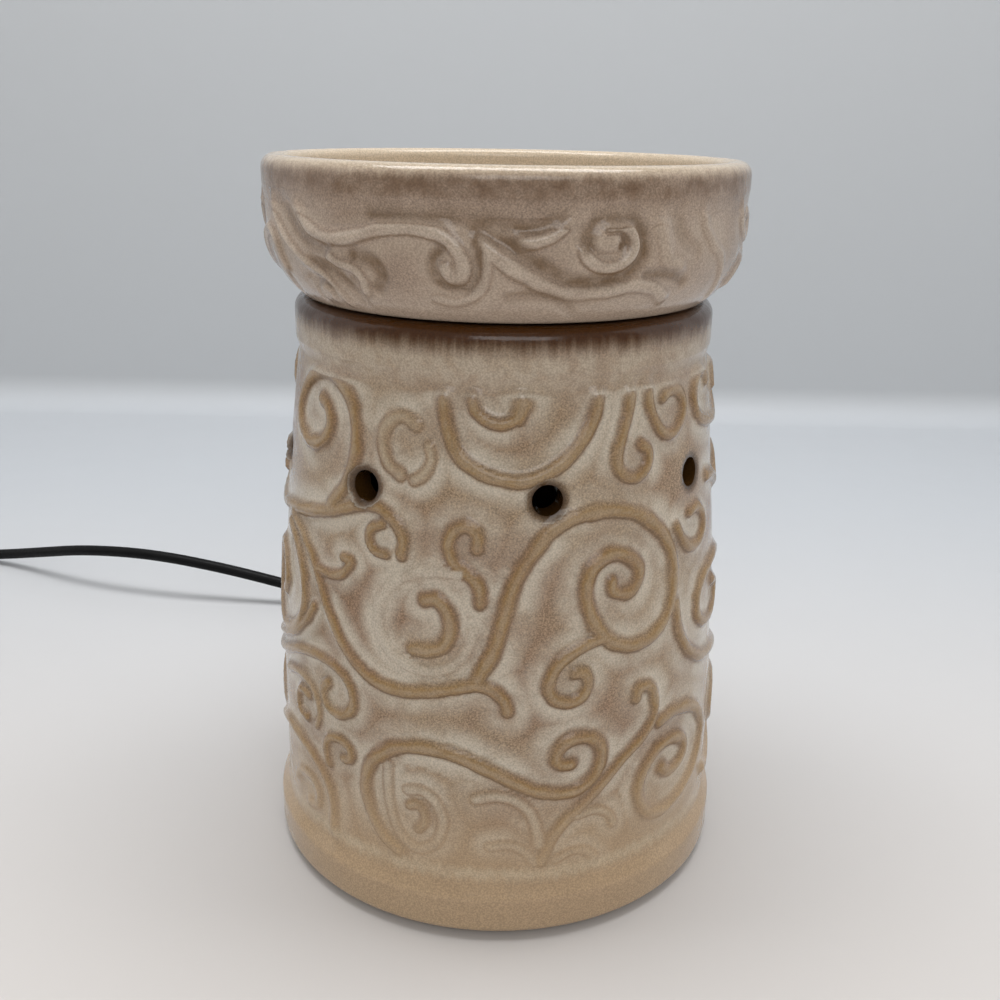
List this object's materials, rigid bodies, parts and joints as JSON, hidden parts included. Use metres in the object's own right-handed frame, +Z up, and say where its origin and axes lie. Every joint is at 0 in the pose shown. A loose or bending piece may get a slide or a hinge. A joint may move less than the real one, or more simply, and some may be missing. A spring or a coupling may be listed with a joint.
{
  "type": "wax melt warmer",
  "caption": "Electric wax melt warmer: round glazed ceramic body with raised scrollwork and a lift-off dish, warmed by a globe bulb, with a cord, thumbwheel switch and plug",
  "frame": {"origin": "on the surface the warmer stands on, under the middle of the ceramic body", "axes": "+Z up along the body's axis; the front of the warmer faces -Y; the cord leaves the back at +Y"},
  "size_m": [0.3143, 0.2486, 0.168],
  "materials": {
    "glaze": "glossy mottled grey-beige glaze that breaks to amber brown on raised edges",
    "dish_glaze": "glossy mottled pinkish beige glaze with a tan rim",
    "steel": "zinc-plated steel",
    "plate_paint": "black painted sheet steel",
    "brass": "plain brass",
    "nickel": "nickel-plated metal",
    "phenolic": "dark phenolic moulding",
    "insulator": "black glass insulator",
    "bulb_glass": "clear glass",
    "tungsten": "drawn wire",
    "rubber": "black rubber",
    "cord_black": "black flexible PVC",
    "switch_black": "black moulded plastic, slightly glossy",
    "wire_white": "white wire insulation and nylon"
  },
  "bodies": {
    "base": {"warmer_body": "glaze", "base_plate": "plate_paint", "rubber_feet": "rubber", "clamp_bridge": "steel", "clamp_screws": "steel", "socket_nipple": "steel", "nipple_nuts": "steel", "socket_hickey": "steel", "socket_rivets": "brass", "socket_housing": "phenolic", "socket_shell": "brass", "socket_contact": "brass", "cord_bushing": "rubber", "cord_stop": "wire_white", "inner_cord": "cord_black", "lead_wires": "wire_white", "cord_to_switch": "cord_black", "switch_lower": "switch_black", "switch_upper": "switch_black", "switch_axle": "steel", "switch_screws": "steel", "cord_to_coil": "cord_black", "cord_coil": "cord_black", "cord_tie": "cord_black", "cord_to_plug": "cord_black", "plug_body": "cord_black", "plug_blades": "brass"},
    "dish": {"wax_dish": "dish_glaze"},
    "bulb_foot": {"bulb_tip": "nickel"},
    "bulb": {"bulb_insulator": "insulator", "bulb_cap": "nickel", "bulb_glass": "bulb_glass", "bulb_stem": "bulb_glass", "bulb_leads": "nickel", "bulb_filament": "tungsten"},
    "wheel": {"switch_wheel": "switch_black"}
  },
  "joints": [
    {"name": "dish_lift", "type": "slide", "parent": "base", "child": "dish", "axis": [0, 0, 1], "range_m": [0, 0.1]},
    {"name": "bulb_lift", "type": "slide", "parent": "base", "child": "bulb_foot", "axis": [0, 0, 1], "range_m": [0, 0.0104]},
    {"name": "bulb_turn", "type": "hinge", "parent": "bulb_foot", "child": "bulb", "pos_m": [0, 0, 0.045], "axis": [0, 0, 1], "range_deg": [0, 1440]},
    {"name": "switch_turn", "type": "hinge", "parent": "base", "child": "wheel", "pos_m": [-0.2389, 0.092, 0.008], "axis": [0, 0, 1], "continuous": true}
  ],
  "couplings": [
    {"joint": "bulb_lift", "follows": "bulb_turn", "m_per_rad": 0.00040425}
  ]
}
